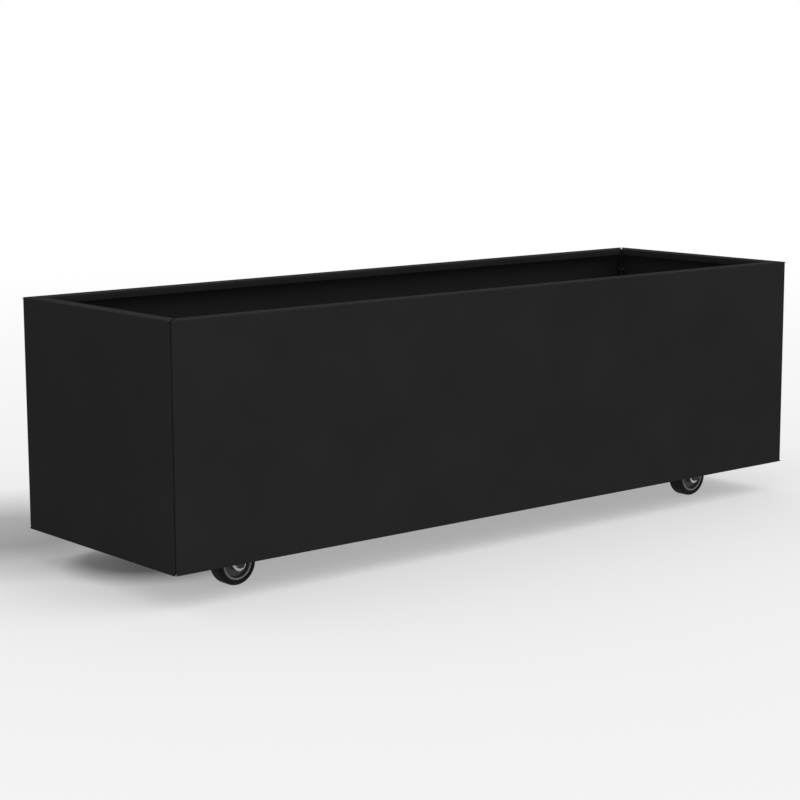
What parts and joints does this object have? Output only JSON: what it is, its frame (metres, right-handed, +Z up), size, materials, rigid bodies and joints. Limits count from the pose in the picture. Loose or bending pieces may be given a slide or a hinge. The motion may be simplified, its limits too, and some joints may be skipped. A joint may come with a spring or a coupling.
{
  "type": "rolling planter",
  "caption": "Long open-top planter box of folded black sheet steel with an inward rim, on swivel casters tucked under its skirt.",
  "frame": {"origin": "on the floor, under the middle of the box", "axes": "+X along the length, to the right as seen from the front; +Y from the front panel to the back panel; +Z up"},
  "size_m": [1.45, 0.45, 0.458],
  "materials": {
    "powder_coat": "satin black powder coat, fine orange peel",
    "zinc_plate": "bright zinc plate, slightly dulled",
    "black_oxide": "dark oxide, semi-matt",
    "bearing_steel": "polished balls, lightly greased",
    "core_plastic": "moulded dark grey plastic",
    "tyre_rubber": "matt dark grey rubber"
  },
  "bodies": {
    "planter": {"back_left_king_pin": "zinc_plate", "back_left_lower_race": "zinc_plate", "back_left_plate": "zinc_plate", "back_left_race_balls": "bearing_steel", "back_panel": "powder_coat", "back_right_king_pin": "zinc_plate", "back_right_lower_race": "zinc_plate", "back_right_plate": "zinc_plate", "back_right_race_balls": "bearing_steel", "brace_nuts": "zinc_plate", "brace_studs": "zinc_plate", "caster_bolts": "zinc_plate", "caster_nuts": "zinc_plate", "caster_washers": "zinc_plate", "centre_brace": "powder_coat", "centre_rail": "powder_coat", "corner_bolts": "black_oxide", "corner_nuts": "black_oxide", "deck": "powder_coat", "deck_rivets": "zinc_plate", "end_ledges": "powder_coat", "front_left_king_pin": "zinc_plate", "front_left_lower_race": "zinc_plate", "front_left_plate": "zinc_plate", "front_left_race_balls": "bearing_steel", "front_panel": "powder_coat", "front_right_king_pin": "zinc_plate", "front_right_lower_race": "zinc_plate", "front_right_plate": "zinc_plate", "front_right_race_balls": "bearing_steel", "left_panel": "powder_coat", "left_rail": "powder_coat", "long_ledges": "powder_coat", "rail_rivets": "zinc_plate", "right_panel": "powder_coat", "right_rail": "powder_coat"},
    "front_left_caster": {"front_left_fork": "zinc_plate", "front_left_axle_bolt": "black_oxide", "front_left_axle_nut": "zinc_plate", "front_left_axle_sleeve": "zinc_plate"},
    "front_left_wheel": {"front_left_wheel_core": "core_plastic", "front_left_tyre": "tyre_rubber"},
    "front_right_caster": {"front_right_fork": "zinc_plate", "front_right_axle_bolt": "black_oxide", "front_right_axle_nut": "zinc_plate", "front_right_axle_sleeve": "zinc_plate"},
    "front_right_wheel": {"front_right_wheel_core": "core_plastic", "front_right_tyre": "tyre_rubber"},
    "back_left_caster": {"back_left_fork": "zinc_plate", "back_left_axle_bolt": "black_oxide", "back_left_axle_nut": "zinc_plate", "back_left_axle_sleeve": "zinc_plate"},
    "back_left_wheel": {"back_left_wheel_core": "core_plastic", "back_left_tyre": "tyre_rubber"},
    "back_right_caster": {"back_right_fork": "zinc_plate", "back_right_axle_bolt": "black_oxide", "back_right_axle_nut": "zinc_plate", "back_right_axle_sleeve": "zinc_plate"},
    "back_right_wheel": {"back_right_wheel_core": "core_plastic", "back_right_tyre": "tyre_rubber"}
  },
  "joints": [
    {"name": "front_left_swivel", "type": "hinge", "parent": "planter", "child": "front_left_caster", "pos_m": [-0.582, -0.131, 0.09], "axis": [0, 0, 1], "continuous": true},
    {"name": "front_left_roll", "type": "hinge", "parent": "front_left_caster", "child": "front_left_wheel", "pos_m": [-0.55, -0.131, 0.0375], "axis": [0, 1, 0], "continuous": true},
    {"name": "front_right_swivel", "type": "hinge", "parent": "planter", "child": "front_right_caster", "pos_m": [0.582, -0.131, 0.09], "axis": [0, 0, 1], "continuous": true},
    {"name": "front_right_roll", "type": "hinge", "parent": "front_right_caster", "child": "front_right_wheel", "pos_m": [0.55, -0.131, 0.0375], "axis": [0, 1, 0], "continuous": true},
    {"name": "back_left_swivel", "type": "hinge", "parent": "planter", "child": "back_left_caster", "pos_m": [-0.582, 0.131, 0.09], "axis": [0, 0, 1], "continuous": true},
    {"name": "back_left_roll", "type": "hinge", "parent": "back_left_caster", "child": "back_left_wheel", "pos_m": [-0.55, 0.131, 0.0375], "axis": [0, 1, 0], "continuous": true},
    {"name": "back_right_swivel", "type": "hinge", "parent": "planter", "child": "back_right_caster", "pos_m": [0.582, 0.131, 0.09], "axis": [0, 0, 1], "continuous": true},
    {"name": "back_right_roll", "type": "hinge", "parent": "back_right_caster", "child": "back_right_wheel", "pos_m": [0.55, 0.131, 0.0375], "axis": [0, 1, 0], "continuous": true}
  ]
}
